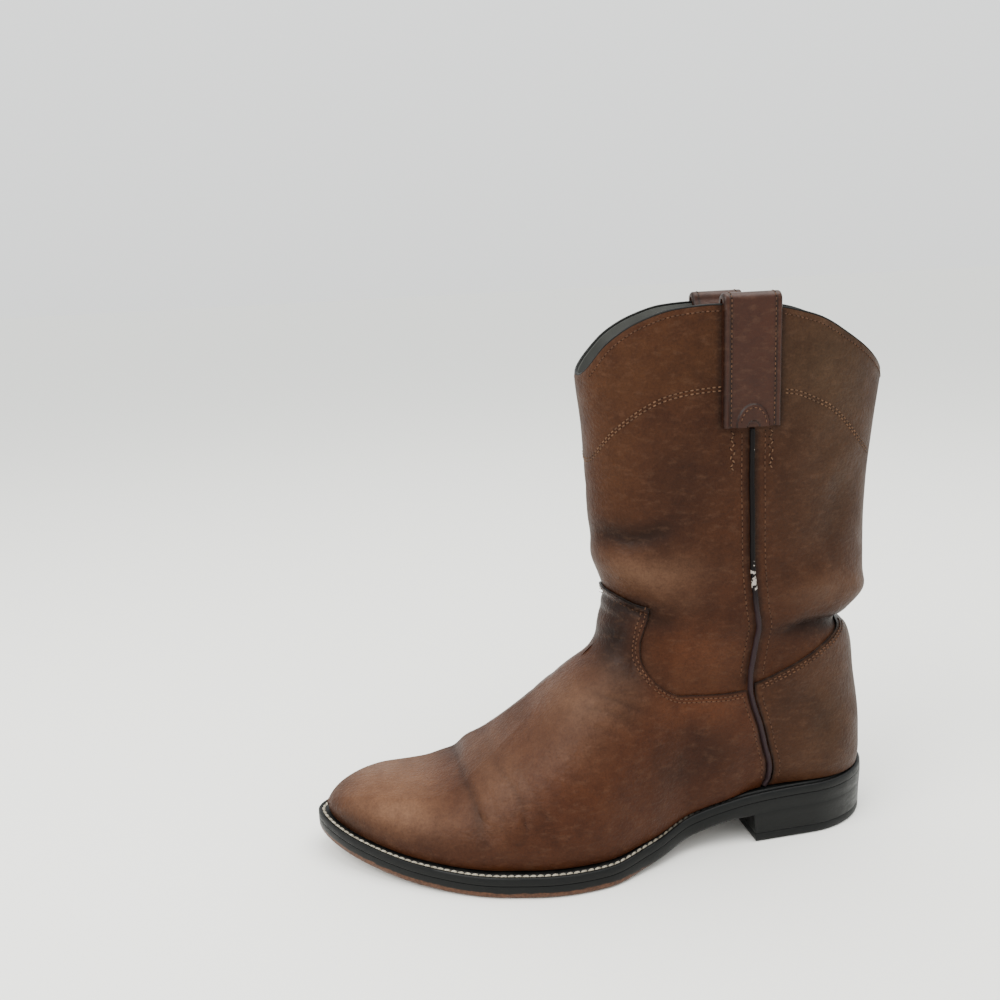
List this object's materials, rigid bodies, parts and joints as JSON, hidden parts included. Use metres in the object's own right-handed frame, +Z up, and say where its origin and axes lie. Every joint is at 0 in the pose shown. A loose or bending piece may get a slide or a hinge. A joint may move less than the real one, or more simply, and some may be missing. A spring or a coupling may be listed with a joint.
{
  "type": "roper boot",
  "caption": "Worn pull-on roper boot for the left foot: hollow ankle-high leather shaft with a scalloped collar, tongued vamp, side piping, pull straps, welted sole and low heel.",
  "frame": {"origin": "the middle of the boot's box from above, on the floor plane that the heel and forefoot stand on", "axes": "+Y from the toe to the heel, +X to the outer (little-toe) side of the left foot, +Z up"},
  "size_m": [0.1132, 0.3056, 0.284],
  "materials": {
    "outsole_leather": "worn, scuffed",
    "welt_leather": "black, waxed",
    "heel_stack": "black, burnished",
    "heel_rubber": "matt",
    "insole_leather": "matt",
    "shaft_leather": "oiled, satin",
    "vamp_leather": "oiled, satin",
    "piping_leather": "dark, satin",
    "strap_leather": "smooth, satin"
  },
  "bodies": {
    "root": {"outsole": "outsole_leather", "welt": "welt_leather", "heel_block": "heel_stack", "heel_cap": "heel_rubber", "insole": "insole_leather", "upper": "shaft_leather", "vamp": "vamp_leather", "counter": "vamp_leather", "piping_outer_side": "piping_leather", "piping_inner_side": "piping_leather", "pull_strap_outer": "strap_leather", "pull_strap_inner": "strap_leather", "collar_piping": "piping_leather"}
  },
  "joints": []
}
